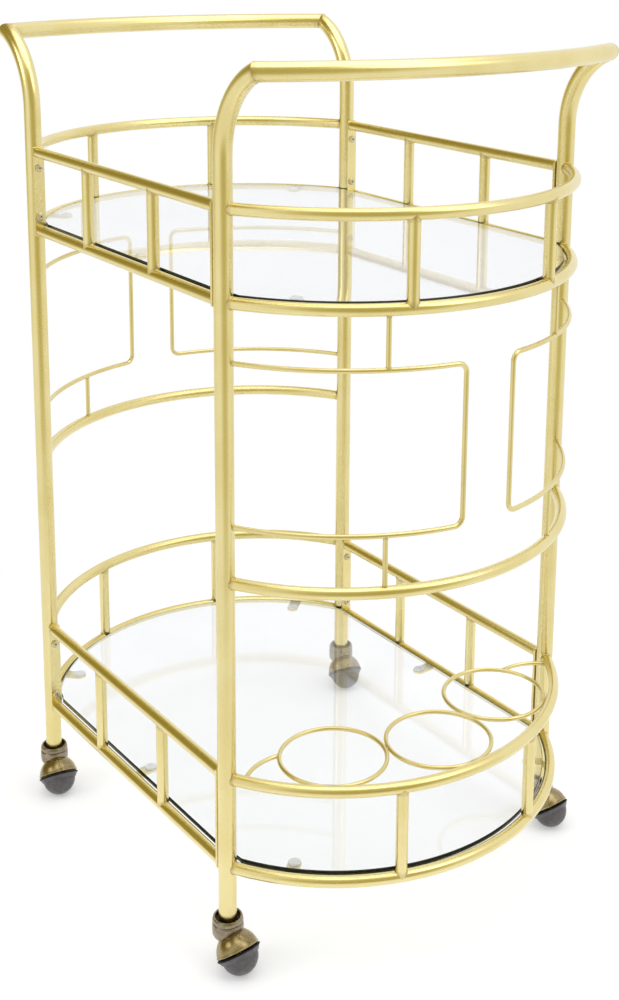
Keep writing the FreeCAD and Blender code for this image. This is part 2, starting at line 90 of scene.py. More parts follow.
def at_end(end, *vectors):
    """Points or directions of the right end as they are, or mirrored to the left end."""
    mirror = Matrix.Diagonal((end_signs[end], 1, 1))
    mirrored = [mirror @ vector for vector in vectors]
    return mirrored if len(mirrored) > 1 else mirrored[0]


def bent_at(end, *start_and_runs):
    """Stations of a tube at one end of the cart, from those of the right end."""
    return [at_end(end, *station) for station in bend_up(*start_and_runs)]


def ring_at(station, radius, facets=tube_facets):
    """Ring of points round a station, turning the same way about its heading as the next ones."""
    point, heading, side = station
    across = heading.cross(side)
    turns = [math.tau * i / facets for i in range(facets)]
    return [point + (side * math.cos(turn) + across * math.sin(turn)) * radius for turn in turns]


def placed(name, data):
    """New object of a mesh, lamp or camera, put in the scene."""
    made = bpy.data.objects.new(name, data)
    bpy.context.scene.collection.objects.link(made)
    return made


class Stock:
    """Rings of points gathered for one piece and skinned into one mesh. Each ring says how near a weld it
    lies, and the skin is unrolled flat in metres, so that the polishing lines follow the tube."""

    def __init__(self):
        self.work = bmesh.new()
        self.weld = self.work.verts.layers.float.new("weld")
        self.unrolled = self.work.loops.layers.uv.new("unrolled")

    def skin(self, rings, welds=None, closed=False, capped=False, bands=None):
        """Faces between rings. bands holds the material number of each band of faces."""
        rows = [[self.work.verts.new(point) for point in ring] for ring in rings]
        for row, weld in zip(rows, welds or ()):
            for vert in row:
                vert[self.weld] = weld
        count = len(rings[0])
        girth = max(sum((a - b).length for a, b in zip(ring, ring[1:] + ring[:1])) for ring in rings)
        travelled = 0.0
        pairs = list(zip(range(len(rows) - 1), range(1, len(rows))))
        if closed:
            pairs.append((len(rows) - 1, 0))
        bands = bands or [0] * len(pairs)
        for material, (here, there) in zip(bands, pairs):
            middle_here = sum(rings[here], Vector()) / count
            middle_there = sum(rings[there], Vector()) / count
            edge = max((middle_there - middle_here).length, (rings[there][0] - rings[here][0]).length)
            for i in range(count):
                j = (i + 1) % count
                face = self.work.faces.new((rows[here][i], rows[here][j], rows[there][j], rows[there][i]))
                face.smooth = True
                face.material_index = material
                spots = ((i, 0), (i + 1, 0), (i + 1, edge), (i, edge))
                for loop, (step, along) in zip(face.loops, spots):
                    loop[self.unrolled].uv = (girth * step / count, travelled + along)
            travelled += edge
        for material, row in ((bands[0], rows[0][::-1]), (bands[-1], rows[-1])) if capped else ():
            face = self.work.faces.new(row)
            face.smooth = True
            face.material_index = material
            for loop in face.loops:
                spot = loop.vert.co
                loop[self.unrolled].uv = (spot.x + spot.y, spot.z - spot.y)

    def mitre(self, point, normal, depth):
        """Saws off what lies beyond a plane and rolls the sawn edge in, as half of a fine seam."""
        everything = self.work.verts[:] + self.work.edges[:] + self.work.faces[:]
        cut = bmesh.ops.bisect_plane(self.work, geom=everything, plane_co=point - normal * depth,
                                     plane_no=normal, clear_outer=True)
        rim = [item for item in cut["geom_cut"] if isinstance(item, bmesh.types.BMEdge)]
        grown = bmesh.ops.extrude_edge_only(self.work, edges=rim)["geom"]
        lip = [item for item in grown if isinstance(item, bmesh.types.BMVert)]
        middle = sum((vert.co for vert in lip), Vector()) / len(lip)
        for vert in lip:
            vert.co += (middle - vert.co).normalized() * depth + normal * depth * seam_slope
        for vert in self.work.verts:
            near = 1 - abs((vert.co - point).dot(normal)) / seam_heat_reach
            vert[self.weld] = max(vert[self.weld], near)

    def piece(self, name, *materials, crease=40):
        """The finished mesh as a new object."""
        mesh = bpy.data.meshes.new(name)
        bmesh.ops.recalc_face_normals(self.work, faces=self.work.faces[:])
        self.work.to_mesh(mesh)
        self.work.free()
        mesh.set_sharp_from_angle(angle=math.radians(crease))
        for material in materials:
            mesh.materials.append(material)
        return placed(name, mesh)


class Nodes:
    """Node tree of a material or of the studio."""

    def __init__(self, tree):
        self.tree = tree

    def node(self, kind, **settings):
        """New node with its settings and the values of its sockets."""
        made = self.tree.nodes.new("ShaderNode" + kind)
        for setting, value in settings.items():
            if hasattr(made, setting):
                setattr(made, setting, value)
            else:
                made.inputs[setting.replace("_", " ").title()].default_value = value
        return made

    def join(self, value, socket):
        """Joins another node's output to a socket, or sets the socket to a number or a colour."""
        if isinstance(value, bpy.types.NodeSocket):
            self.tree.links.new(value, socket)
        else:
            socket.default_value = (*value, 1) if isinstance(value, tuple) else value

    def spread(self, value, low, high, to_low=0.0, to_high=1.0, curve="SMOOTHSTEP"):
        """A range of values stretched over another."""
        stretch = self.node("MapRange", interpolation_type=curve, from_min=low, from_max=high,
                            to_min=to_low, to_max=to_high)
        self.join(value, stretch.inputs["Value"])
        return stretch.outputs["Result"]

    def grain(self, vector, scale, detail=3.0, roughness=0.5, low=0.3, high=0.7, to_low=0.0, to_high=1.0):
        """Noise stretched over a range."""
        cloud = self.node("TexNoise", scale=scale, detail=detail, roughness=roughness)
        self.join(vector, cloud.inputs["Vector"])
        return self.spread(cloud.outputs["Fac"], low, high, to_low, to_high)

    def stretched(self, vector, *scales):
        """Coordinates scaled differently in each direction."""
        mapping = self.node("Mapping", Scale=scales)
        self.join(vector, mapping.inputs["Vector"])
        return mapping.outputs["Vector"]

    def blend_colours(self, share, first, second):
        """Mix of two colours, each a colour or another mix."""
        mix = self.node("Mix", data_type="RGBA")
        for value, socket in ((share, mix.inputs[0]), (first, mix.inputs[6]), (second, mix.inputs[7])):
            self.join(value, socket)
        return mix.outputs[2]

    def maths(self, operation, *values, clamped=False):
        """Arithmetic on numbers and on values that vary over the surface."""
        made = self.node("Math", operation=operation, use_clamp=clamped)
        for value, socket in zip(values, made.inputs):
            self.join(value, socket)
        return made.outputs[0]

    def weighed(self, *parts, base=0.0, clamped=False):
        """A base value plus values that vary over the surface, each times its weight."""
        for value, weight in parts:
            base = self.maths("MULTIPLY_ADD", value, weight, base, clamped=clamped)
        return base

    def relief(self, height, strength, distance, under=None):
        """Bump from a height, over another bump if one is given."""
        bump = self.node("Bump", strength=strength, distance=distance)
        self.join(height, bump.inputs["Height"])
        if under is not None:
            self.join(under, bump.inputs["Normal"])
        return bump.outputs["Normal"]

    def either(self, share, usual, other):
        """Mix of two shaders."""
        mix = self.node("MixShader")
        for value, socket in zip((share, usual, other), mix.inputs):
            self.join(value, socket)
        return mix.outputs[0]


class Finish(Nodes):
    """Nodes of one procedural material: place is the position on its piece, plain its own shader."""

    def __init__(self, name):
        self.material = bpy.data.materials.new(name)
        self.material.use_nodes = True
        super().__init__(self.material.node_tree)
        self.shader = self.tree.nodes["Principled BSDF"]
        self.plain = self.shader.outputs[0]
        self.place = self.node("TexCoord").outputs["Object"]

    def wear_and_hollow_shade(self, low, high):
        """Where the piece stands out, between two measures of how sharply it does."""
        return self.spread(self.node("NewGeometry").outputs["Pointiness"], low, high, curve="LINEAR")

    def surface(self, values):
        """Feeds the shader's sockets, and returns the material."""
        for socket, value in values.items():
            self.join(value, self.shader.inputs[socket])
        return self.material

    def show(self, shader):
        """Puts a mix of shaders in the place of the plain one."""
        self.join(shader, self.tree.nodes["Material Output"].inputs["Surface"])


def tinted(colour, factor, lift=0.0):
    """A colour made darker or paler."""
    return tuple(min(1, tone * factor + lift) for tone in colour)


def gold_plating(name, pale, deep, roughness):
    """Satin champagne gold: soft clouds of paler and deeper plating, lines from lengthwise polishing, a
    faint ripple in the lacquer, small rub marks, and a duller, browner tone beside the welds."""
    finish = Finish(name)
    unrolled = finish.node("UVMap", uv_map="unrolled").outputs["UV"]
    weld = finish.node("Attribute", attribute_name="weld").outputs["Fac"]
    clouds = finish.grain(finish.place, 17.0, 4.0)
    lines = finish.grain(finish.stretched(unrolled, 5200, 60, 1), 1.0, 4.0, 0.6)
    rubs = finish.grain(finish.place, 260.0, 5.0, 0.65, 0.62, 0.78)
    ripple = finish.grain(finish.place, 900.0, 2.0)
    patches = finish.grain(finish.place, 420.0, 3.0, 0.5, 0.2, 0.7, 0.35, 1.0)
    heat = finish.maths("MULTIPLY", weld, patches, clamped=True)
    colour = finish.blend_colours(clouds, pale, deep)
    colour = finish.blend_colours(finish.weighed((lines, 0.10)), colour, tinted(deep, 0.72))
    colour = finish.blend_colours(finish.weighed((rubs, 0.22)), colour, tinted(pale, 1.08))
    colour = finish.blend_colours(finish.weighed((heat, 0.62)), colour, (0.40, 0.27, 0.08))
    dullness = finish.weighed((clouds, 0.05), (lines, 0.05), (rubs, 0.08), (heat, 0.16), base=roughness)
    bump = finish.relief(lines, 0.12, 0.00003)
    bump = finish.relief(ripple, 0.10, 0.00005, bump)
    bump = finish.relief(heat, 0.35, 0.00012, bump)
    return finish.surface({
        "Base Color": colour,
        "Roughness": dullness,
        "Normal": bump,
        "Metallic": 1.0,
        "Coat Weight": 0.35,
        "Coat Roughness": 0.18,
    })


gold = gold_plating("champagne_gold", (0.84, 0.73, 0.36), (0.79, 0.67, 0.29), 0.21)
post_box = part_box("post_right_front")
handle_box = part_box("handle_right")
end_x = post_box[0].x + post_radius
side_y = -(post_box[0].y + post_box[1].y) / 2
post_foot_z = post_box[0].z
handle_z = handle_box[1].z - post_radius
handle_bow = handle_box[1].x - post_radius - end_x - post_overhang
handle_radius = (side_y ** 2 + handle_bow ** 2) / (2 * handle_bow)
handle_half_angle = math.asin(side_y / handle_radius)
post_turn = math.acos(1 - post_overhang / post_bend_radius)
post_rise = handle_z - post_bend_radius * math.sin(post_turn) - post_foot_z


def level(angle):
    """Level direction at an angle from X."""
    return Vector((math.cos(angle), math.sin(angle), 0))


def corner_plane(side):
    """Corner of the right end where post and push bar meet, and the direction across their joint."""
    corner = Vector((end_x + post_overhang, side * side_y, handle_z))
    post_heading = Vector((math.sin(post_turn), 0, math.cos(post_turn)))
    bar_heading = level(math.pi / 2 + side * handle_half_angle)
    return corner, (post_heading - bar_heading * side).normalized()


for end in end_signs:
    for side_name, side in side_signs.items():
        foot = Vector((end_x, side * side_y, post_foot_z))
        runs = [post_rise, (post_bend_radius, post_turn, across_y), 2 * post_radius]
        stations = bent_at(end, foot, up, across_x, runs)
        foot, *aim = stations[0]
        rings = [ring_at((foot, *aim), post_radius - inset) for inset in (post_wall, post_foot_rounding)]
        stations[0] = (foot + up * post_foot_rounding, *aim)
        stock = Stock()
        stock.skin(rings + [ring_at(station, post_radius) for station in stations])
        corner, across_joint = corner_plane(side)
        stock.mitre(at_end(end, corner), at_end(end, across_joint), seam_depth)
        post = stock.piece(f"post_{end}_{side_name}_tube", gold)
        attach(post, "frame")
        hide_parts(f"post_{end}_{side_name}")


# ---- Push bars ----
# One bowed bar of the posts' own tube at each end, rolled to a wide curve, mitred to its two posts, welded
# all round and ground back, so that only a fine seam shows at each corner.

for end in end_signs:
    heading = level(math.pi / 2 - handle_half_angle)
    start = corner_plane(-1)[0] - heading * 2 * post_radius
    runs = [2 * post_radius, (handle_radius, 2 * handle_half_angle, up), 2 * post_radius]
    stock = Stock()
    stock.skin([ring_at(station, post_radius) for station in bent_at(end, start, heading, up, runs)])
    for side in side_signs.values():
        corner, across_joint = corner_plane(side)
        stock.mitre(at_end(end, corner), at_end(end, -across_joint), seam_depth)
    bar = stock.piece(f"push_bar_{end}", gold)
    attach(bar, "frame")
    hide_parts(f"handle_{end}")


# ---- Bowed rails ----
# Five rails of 12 mm tube round each end, rolled to one radius, coped to the posts and welded with a
# small fillet. All rails of an end share the centre of their bow.

rail_radius = 0.006
rail_weld = 0.0013
rail_clear_of_post = 0.0118
bead_steps = 5
flat_bead_share = 0.3
least_steepness = 0.02
bead_unevenness = 0.3
bead_lumps = 500
bead_sink = 0.00006
rail_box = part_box("bow_rail_middle_right")
rail_bow = rail_box[1].x - rail_radius - end_x
bow_radius = (side_y ** 2 + rail_bow ** 2) / (2 * rail_bow)
bow_centre_x = end_x + rail_bow - bow_radius
rail_half_angle = math.asin(side_y / bow_radius) - rail_clear_of_post / bow_radius
decks = (("lower_shelf", "lower_gallery"), ("upper_shelf", "upper_gallery"))
rail_heights = {}
for name in (*decks[0], "middle", *decks[1]):
    low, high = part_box(f"bow_rail_{name}_right")
    rail_heights[name] = (low.z + high.z) / 2


def on_bow(angle, z, radius=bow_radius):
    """Point at the right end, at an angle and distance from the centre that all its bows share."""
    return Vector((bow_centre_x, 0, z)) + level(angle) * radius


def against_tube(point, axis, radius):
    """Where a line meets a round tube, with the tube's outward direction there and its radius."""
    def meet(start, aim):
        offset = start - point
        offset -= axis * offset.dot(axis)
        flat_aim = aim - axis * aim.dot(axis)
        a = flat_aim.dot(flat_aim)
        b = offset.dot(flat_aim)
        c = offset.dot(offset) - radius ** 2
        hit = start + aim * ((-b - math.sqrt(max(b * b - a * c, 0.0))) / a)
        outward = hit - point
        outward -= axis * outward.dot(axis)
        return hit, outward.normalized(), radius
    return meet


def against_post(end, side):
    """Where a line meets a post."""
    return against_tube(at_end(end, Vector((end_x, side * side_y, 0))), up, post_radius)


def weld_bead(ring, aim, meet, size):
    """Rings of the small fillet that carries a tube's end onto what it meets, a little uneven as welded."""
    middle = sum(ring, Vector()) / len(ring)
    rings = [[] for _ in range(bead_steps + 1)]
    for point in ring:
        hit, normal, radius = meet(point, aim)
        out = (point - middle).normalized()
        along = out - normal * out.dot(normal)
        steepness = min(1.0, along.length)
        along = along.normalized() if steepness > least_steepness else aim.copy()
        reach = size * (flat_bead_share + (1 - flat_bead_share) * steepness)
        reach *= 1 + bead_unevenness * noise.noise(hit * bead_lumps)
        for step, bead_ring in enumerate(rings):
            t = step / bead_steps
            sunk = (reach * t) ** 2 / (2 * radius) + bead_sink * t
            bead_ring.append(hit - aim * (reach * (1 - t) ** 2) + along * (reach * t * t) - normal * sunk)
    return rings


def welded(stock, stations, radius, start, end, size, facets=tube_facets):
    """Skins a tube along its stations, with a weld bead where each end meets its neighbour."""
    rings = [ring_at(station, radius, facets) for station in stations]
    head = weld_bead(rings[0], -stations[0][1], start, size)[::-1]
    tail = weld_bead(rings[-1], stations[-1][1], end, size)
    stock.skin(head + rings + tail, [1.0] * len(head) + [0.0] * len(rings) + [1.0] * len(tail))


for end in end_signs:
    for name, z in rail_heights.items():
        heading = level(math.pi / 2 - rail_half_angle)
        bow = [(bow_radius, 2 * rail_half_angle, up)]
        stations = bent_at(end, on_bow(-rail_half_angle, z), heading, up, bow)
        stock = Stock()
        welded(stock, stations, rail_radius, against_post(end, -1), against_post(end, 1), rail_weld)
        rail = stock.piece(f"bow_rail_{name}_{end}_tube", gold)
        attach(rail, "frame")
        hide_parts(f"bow_rail_{name}_{end}")


# ---- End balusters ----
# Short uprights of the rails' own tube between the shelf rail and the gallery rail of each bowed end, two
# below and two above, fish-mouthed over the rails and welded.

end_baluster_angle = math.radians(20.5)
baluster_clear_of_rail = 0.0082
baluster_weld = 0.0011


def baluster(stock, foot, shelf, gallery, facing, along_rail):
    """One upright between two rails, over a point on the plan."""
    low_point, high_point = (foot + up * rail_heights[name] for name in (shelf, gallery))
    third = ((high_point - low_point).length - 2 * baluster_clear_of_rail) / 3
    stations = bend_up(low_point + up * baluster_clear_of_rail, up, facing, [third] * 3)
    below = against_tube(low_point, along_rail, rail_radius)
    above = against_tube(high_point, along_rail, rail_radius)
    welded(stock, stations, rail_radius, below, above, baluster_weld)


for end in end_signs:
    stock = Stock()
    for shelf, gallery in decks:
        for angle in (-end_baluster_angle, end_baluster_angle):
            foot, facing, along_rail = at_end(end, on_bow(angle, 0), level(angle), level(angle + math.pi / 2))
            baluster(stock, foot, shelf, gallery, facing, along_rail)
    uprights = stock.piece(f"end_uprights_{end}", gold)
    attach(uprights, "frame")
    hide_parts(f"end_balusters_{end}")


# ---- Side rails ----
# Straight rails of the same 12 mm tube along both long sides, butted to the flat end straps of their
# panel and welded there.

strap_inner_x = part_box("side_rail_upper_shelf_front")[1].x
side_rail_weld = 0.0004
side_rail_end = 0.004


def against_flat(point, normal):
    """Where a line meets a flat face, with the face's outward direction."""
    def meet(start, aim):
        return start + aim * ((point - start).dot(normal) / aim.dot(normal)), normal, 1.0
    return meet


for side_name, side in side_signs.items():
    for name in (*decks[0], *decks[1]):
        right_face = Vector((strap_inner_x, side * side_y, rail_heights[name]))
        left_face = at_end("left", right_face)
        middle_run = 2 * (strap_inner_x - 2 * side_rail_weld - side_rail_end)
        start = left_face + across_x * 2 * side_rail_weld
        stations = bend_up(start, across_x, up, [side_rail_end, middle_run, side_rail_end])
        stock = Stock()
        welded(stock, stations, rail_radius, against_flat(left_face, across_x),
               against_flat(right_face, -across_x), side_rail_weld)
        rail = stock.piece(f"side_rail_{name}_{side_name}_tube", gold)
        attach(rail, "frame")
        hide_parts(f"side_rail_{name}_{side_name}")


# ---- Side balusters ----
# Uprights of each long side, two between the lower pair of rails and two between the upper pair.

side_baluster_x = 0.068

for side_name, side in side_signs.items():
    stock = Stock()
    for shelf, gallery in decks:
        for x in (-side_baluster_x, side_baluster_x):
            baluster(stock, Vector((x, side * side_y, 0)), shelf, gallery, across_x, across_x)
    uprights = stock.piece(f"side_uprights_{side_name}", gold)
    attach(uprights, "frame")
    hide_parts(f"side_balusters_{side_name}")


# ---- End straps ----
# Flat bars of 3 x 13 mm steel that close each side panel at both ends and lie against the posts, with
# rounded corners and softly broken edges, plated with the tubes.

strap_thickness = 0.003
strap_half_width = 0.0065
strap_corner_radius = 0.002
strap_edge_rounding = 0.0005
face_border = 1.4


def arc_points(u, v, radius, first, last, steps):
    """Flat points along an arc about (u, v), from one angle to another, in degrees."""
    turns = [math.radians(first + (last - first) * step / steps) for step in range(steps + 1)]
    return [(u + radius * math.cos(turn), v + radius * math.sin(turn)) for turn in turns]


def rounded_outline(half_width, bottom, top, radius):
    """Flat outline of a bar with rounded corners, counterclockwise."""
    side, low, high = half_width - radius, bottom + radius, top - radius
    outline = []
    for u, v, first in ((side, low, -90), (side, high, 0), (-side, high, 90), (-side, low, 180)):
        outline += arc_points(u, v, radius, first, first + 90, 6)
    return outline


def drawn_in(outline, distance):
    """Flat outline moved inward."""
    moved = []
    for before, here, after in zip(outline[-1:] + outline[:-1], outline, outline[1:] + outline[:1]):
        first = Vector((here[1] - before[1], before[0] - here[0])).normalized()
        second = Vector((after[1] - here[1], here[0] - after[0])).normalized()
        corner = (first + second) / (1 + first.dot(second))
        moved.append((here[0] - corner.x * distance, here[1] - corner.y * distance))
    return moved


def plate(stock, outline, thickness, rounding, place, edge_material=0, steps=4):
    """Plate of an outline with rounded edges. place turns (u, v, height) into a point."""
    levels = [(rounding * face_border, 0.0), *arc_points(rounding, rounding, rounding, -90, -180, steps)]
    levels += [(inset, thickness - height) for inset, height in reversed(levels)]
    rings = [[place(u, v, height) for u, v in drawn_in(outline, inset)] for inset, height in levels]
    stock.skin(rings, capped=True, bands=[0] + [edge_material] * (len(rings) - 3) + [0])


for side_name, side in side_signs.items():
    stock = Stock()
    for shelf, gallery in decks:
        outline = rounded_outline(strap_half_width, rail_heights[shelf] - rail_radius,
                                  rail_heights[gallery] + rail_radius, strap_corner_radius)
        for end in end_signs:
            plate(stock, outline, strap_thickness, strap_edge_rounding,
                  lambda u, v, height: at_end(end, Vector((strap_inner_x + height, side * side_y + u, v))))
    straps = stock.piece(f"end_straps_{side_name}_bars", gold)
    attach(straps, "frame")
    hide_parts(f"end_straps_{side_name}")


# ---- Panel screws ----
# Sixteen button-head machine screws with hexagon sockets, driven from inside the cart through strap and
# post wall. Cold-headed steel, brass-plated; painted shade darkens the socket and the other hollows, so the
# crown looks brighter.

screw_head_radius = 0.0044
screw_head_height = 0.0024
screw_crown_radius = 0.0026
screw_shank_radius = 0.002
screw_reach = 0.007
socket_half_across = 0.00125
socket_depth = 0.0013
screw_above_shelf = 0.0155
screw_below_gallery = 0.017
screw_rim_height = 0.0005
screw_point_break = 0.0005
screw_rim_break = 0.0001
crown_fullness = 0.9
screw_turn_by_height = 700
socket_mouth = 0.0002

finish = Finish("plated_screw_steel")
mottle = finish.grain(finish.place, 900.0, 4.0)
colour = finish.blend_colours(mottle, (0.95, 0.88, 0.66), (0.86, 0.77, 0.52))
# Painted shade: where the head is hollow, most of all in the socket, the plating colour is mixed toward dark
# brown.
screw_steel = finish.surface({
    "Base Color": finish.blend_colours(finish.wear_and_hollow_shade(0.48, 0.56), (0.36, 0.30, 0.17), colour),
    "Roughness": finish.weighed((mottle, 0.14), base=0.26),
    "Normal": finish.relief(finish.grain(finish.place, 3200.0), 0.15, 0.00004),
    "Metallic": 1.0,
})


def hexagon(turn):
    """Distance from the middle to the socket's wall, at a turn about the screw."""
    sector = (turn + math.pi / 6) % (math.pi / 3) - math.pi / 6
    return socket_half_across / math.cos(sector)


def turned(stock, profile, place, facets=48, bands=None):
    """Skin of a turned piece. A profile's radius may depend on the turn about its axis."""
    turns = [math.tau * i / facets for i in range(facets)]
    rings = []
    for radius, height in profile:
        reaches = [radius(turn) if callable(radius) else radius for turn in turns]
        rings.append([place @ Vector((reach * math.cos(turn), reach * math.sin(turn), height))
                      for reach, turn in zip(reaches, turns)])
    stock.skin(rings, capped=True, bands=bands)


screw_profile = [
    (0.0005, -screw_reach),
    (screw_shank_radius - screw_point_break, -screw_reach),
    (screw_shank_radius, screw_point_break - screw_reach),
    (screw_shank_radius, 0.0),
    (screw_head_radius - screw_rim_break, 0.0),
    (screw_head_radius, screw_rim_break),
    (screw_head_radius, screw_rim_height),
]
for step in range(1, 9):
    swing = math.pi / 2 * step / 8
    screw_profile.append((
        screw_crown_radius + (screw_head_radius - screw_crown_radius) * math.cos(swing),
        screw_rim_height + (screw_head_height - screw_rim_height) * math.sin(swing) ** crown_fullness,
    ))
screw_profile += [
    (lambda turn: hexagon(turn) + 0.00022, screw_head_height),
    (hexagon, screw_head_height - socket_mouth),
    (lambda turn: hexagon(turn) - 0.00002, screw_head_height - socket_depth),
    (0.0001, screw_head_height - socket_depth - 0.0003),
]

stock = Stock()
for sign in end_signs.values():
    for side in side_signs.values():
        for shelf, gallery in decks:
            for z in (rail_heights[shelf] + screw_above_shelf, rail_heights[gallery] - screw_below_gallery):
                seat = Matrix.Translation((sign * strap_inner_x, side * side_y, z))
                seat = seat @ Matrix.Rotation(-sign * math.pi / 2, 4, "Y")
                seat = seat @ Matrix.Rotation(z * screw_turn_by_height, 4, "Z")
                turned(stock, screw_profile, seat)
screws = stock.piece("button_screws", screw_steel, crease=35)
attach(screws, "frame")
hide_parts("panel_screws")


# ---- Wire loops ----
# Two U-shaped loops of 5 mm wire at each end, above the middle rail: out from a post along the bow, down
# near the middle and back to the post. Bent from drawn wire with tight corners and welded to the posts.

loop_radius = 0.0025
loop_corner = 0.009
loop_half_gap = 0.0288
wire_weld = 0.0009
wire_facets = 24
loop_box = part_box("wire_loops_right")
loop_bottom_z = loop_box[0].z + loop_radius
loop_top_z = loop_box[1].z - loop_radius
loop_inner_angle = math.asin(loop_half_gap / bow_radius) + math.atan(loop_corner / bow_radius)
gold_wire = gold_plating("champagne_gold_wire", (0.82, 0.71, 0.35), (0.76, 0.64, 0.28), 0.26)

for end in end_signs:
    stock = Stock()
    for side in side_signs.values():
        sweep = rail_half_angle - loop_inner_angle
        heading = level(side * (rail_half_angle - math.pi / 2))
        corner_axis = up.cross(level(side * (loop_inner_angle - math.pi / 2)))
        runs = [
            (bow_radius, sweep, up * -side),
            (loop_corner, math.pi / 2, corner_axis),
            loop_top_z - loop_bottom_z - 2 * loop_corner,
            (loop_corner, math.pi / 2, corner_axis),
            (bow_radius, sweep, up * side),
        ]
        stations = bent_at(end, on_bow(side * rail_half_angle, loop_top_z), heading, up, runs)
        post = against_post(end, side)
        welded(stock, stations, loop_radius, post, post, wire_weld, wire_facets)
    loops = stock.piece(f"wire_loops_{end}_pair", gold_wire)
    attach(loops, "frame")
    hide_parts(f"wire_loops_{end}")


# ---- Loop stubs ----
# Short lengths of the same wire that tie each loop to the middle rail below and the upper shelf rail above.

stub_angle = math.radians(25.7)

for end in end_signs:
    stock = Stock()
    for angle in (-stub_angle, stub_angle):
        facing, along = at_end(end, level(angle), level(angle + math.pi / 2))
        for low_z, high_z, low_radius, high_radius in (
            (rail_heights["middle"], loop_bottom_z, rail_radius, loop_radius),
            (loop_top_z, rail_heights["upper_shelf"], loop_radius, rail_radius),
        ):
            below, above = at_end(end, on_bow(angle, low_z), on_bow(angle, high_z))
            low_gap = low_radius + 2 * wire_weld
            half = ((above - below).length - low_gap - high_radius - 2 * wire_weld) / 2
            stations = bend_up(below + up * low_gap, up, facing, [half, half])
            welded(stock, stations, loop_radius, against_tube(below, along, low_radius),
                   against_tube(above, along, high_radius), wire_weld, wire_facets)
    stubs = stock.piece(f"loop_stubs_{end}_wires", gold_wire)
    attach(stubs, "frame")
    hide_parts(f"loop_stubs_{end}")


# ---- Bottle rings ----
# Three rings of 4.5 mm wire inside the right end's lower gallery, each closed by a butt weld and joined to
# its neighbour and to the bowed rail by a small bead where they touch.

ring_wire_radius = 0.00225
bead_half_length = 0.0055
bead_half_width = 0.0011
bead_half_height = 0.0019
touch_bead_steps = 12
touch_bead_facets = 16
touch_bead_unevenness = 0.12
touch_bead_lumps = 700
touch_bead_lump_reach = 0.002
nip_bead_length_share = 0.8
nip_bead_width_share = 1.2
butt_weld_swell = 0.05
ring_boxes = {name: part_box(f"bottle_ring_{name}") for name in ("front", "middle", "back")}
ring_centres = {name: (low + high) / 2 for name, (low, high) in ring_boxes.items()}
ring_radius = (ring_boxes["middle"][1].x - ring_boxes["middle"][0].x) / 2 - ring_wire_radius


def touch_bead(stock, middle, along, half_length, half_width, half_height):
    """Spindle of weld metal in the nip between two wires that run along the same line."""
    across = up.cross(along)
    rings = []
    for step in range(touch_bead_steps + 1):
        share = math.cos(math.pi * (step + 0.25) / (touch_bead_steps + 0.5))
        girth = math.sqrt(1 - share * share)
        point = middle - along * half_length * share
        ring = []
        for i in range(touch_bead_facets):
            turn = math.tau * i / touch_bead_facets
            sample = (point + across * math.cos(turn) * touch_bead_lump_reach) * touch_bead_lumps
            swell = girth * (1 + touch_bead_unevenness * noise.noise(sample))
            out = across * math.cos(turn) * half_width + up * math.sin(turn) * half_height
            ring.append(point + out * swell)
        rings.append(ring)
    stock.skin(rings, [1.0] * len(rings), capped=True)


for name, centre in ring_centres.items():
    outward = Vector((centre.x - bow_centre_x, centre.y, 0)).normalized()
    start = centre + outward * ring_radius
    heading = up.cross(outward)
    stations = bend_up(start, heading, up, [(ring_radius, math.tau, up)])[:-1]
    rings = []
    welds = []
    for number, station in enumerate(stations):
        from_joint = min(number, len(stations) - number)
        swell = 1 + butt_weld_swell * math.exp(-from_joint ** 2)
        rings.append(ring_at(station, ring_wire_radius * swell, wire_facets))
        welds.append(max(0.0, 1 - from_joint / 2))
    stock = Stock()
    stock.skin(rings, welds, closed=True)
    rail_touch = centre + outward * (ring_radius + ring_wire_radius)
    touch_bead(stock, rail_touch, heading, bead_half_length, bead_half_width, bead_half_height)
    if name != "middle":
        toward = (ring_centres["middle"] - centre).normalized()
        touch = (ring_centres["middle"] + centre) / 2
        touch_bead(stock, touch, up.cross(toward), bead_half_length * nip_bead_length_share,
                   bead_half_width * nip_bead_width_share, bead_half_height)
    wire = stock.piece(f"bottle_ring_{name}_wire", gold_wire)
    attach(wire, "frame")
    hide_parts(f"bottle_ring_{name}")


# ---- Rack end wires ----
# Two curved wires of the rings' own radius that close the rack from each outer ring to the bowed rail.

rack_end_side_y = 0.196
rack_end_angle = math.radians(232)
rack_end_clear = 0.0042
rack_z = ring_centres["middle"].z
rail_inside = bow_radius - rail_radius

stock = Stock()
for name, side in side_signs.items():
    ring_point = ring_centres[name] + level(-side * rack_end_angle) * ring_radius
    rail_angle = side * math.asin(rack_end_side_y / rail_inside)
    rail_point = on_bow(rail_angle, rack_z, rail_inside)
    half_chord = (rail_point - ring_point) / 2
    inward = half_chord.cross(up * -side).normalized()
    rise = math.sqrt(ring_radius ** 2 - half_chord.length ** 2)
    centre = ring_point + half_chord - inward * rise
    heading = up.cross(rail_point - centre).normalized() * side
    half_turn = math.asin(half_chord.length / ring_radius)
    lead = Matrix.Rotation(rack_end_clear / ring_radius * side, 3, "Z")
    start = centre + lead @ (rail_point - centre)
    swept = 2 * half_turn - 2 * rack_end_clear / ring_radius
    stations = bend_up(start, lead @ heading, up, [(ring_radius, swept, up * side)])
    rail_line = against_tube(on_bow(rail_angle, rack_z), level(rail_angle + math.pi / 2), rail_radius)
    ring_out = (ring_point - ring_centres[name]).normalized()
    ring_line = against_tube(ring_point, up.cross(ring_out), ring_wire_radius)
    welded(stock, stations, ring_wire_radius, rail_line, ring_line, wire_weld, wire_facets)
ends = stock.piece("rack_end_pair", gold_wire)
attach(ends, "frame")
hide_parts("rack_end_wires")


# ---- Glass tabs ----
# Six flat steel tabs inside each shelf's rails, round-nosed, sheared from 2.5 mm strip and welded to the
# rails' inner sides just under the glass.

